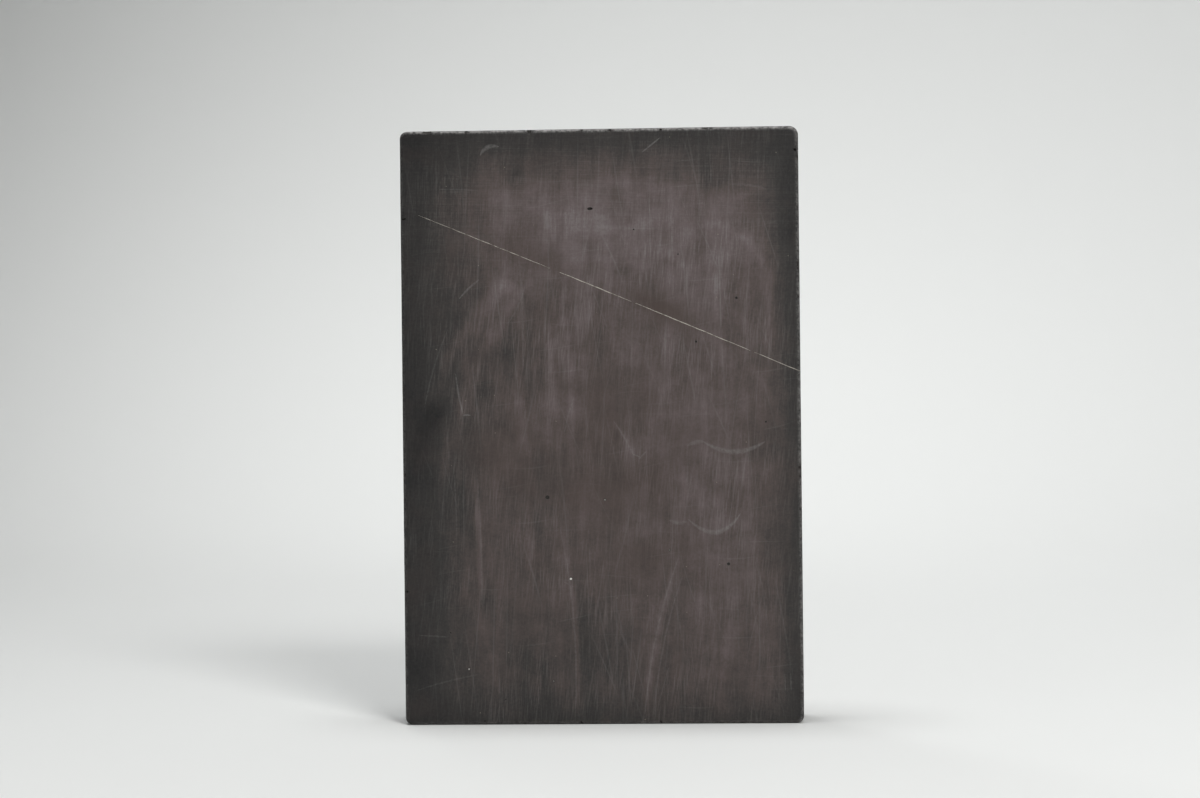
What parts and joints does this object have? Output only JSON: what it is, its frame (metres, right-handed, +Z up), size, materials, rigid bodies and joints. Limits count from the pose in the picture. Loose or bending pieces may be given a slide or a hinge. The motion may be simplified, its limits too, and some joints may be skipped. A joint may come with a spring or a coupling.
{
  "type": "massage stone",
  "caption": "Flat honed slab of dark basalt with softened corners and a thin pale vein, warmed or cooled and laid on or drawn over the body.",
  "frame": {"origin": "middle of the underside that the slab stands on, the bottom centre of its bounding box", "axes": "+Z up along the slab's height, +X to the right of the front face, and the front face looks towards -Y"},
  "size_m": [0.134, 0.025, 0.2],
  "materials": {
    "honed_basalt": "honed, satin, with a dry dusty haze and fine scratches",
    "vein_mineral": "honed flush with the stone",
    "grain_mineral": "honed flush with the stone"
  },
  "bodies": {
    "root": {"stone_slab": "honed_basalt", "vein_lens_1": "vein_mineral", "vein_lens_2": "vein_mineral", "vein_lens_3": "vein_mineral", "vein_lens_4": "vein_mineral", "mineral_grain_1": "grain_mineral", "mineral_grain_2": "grain_mineral", "mineral_grain_3": "grain_mineral", "mineral_grain_4": "grain_mineral", "mineral_grain_5": "grain_mineral"}
  },
  "joints": []
}
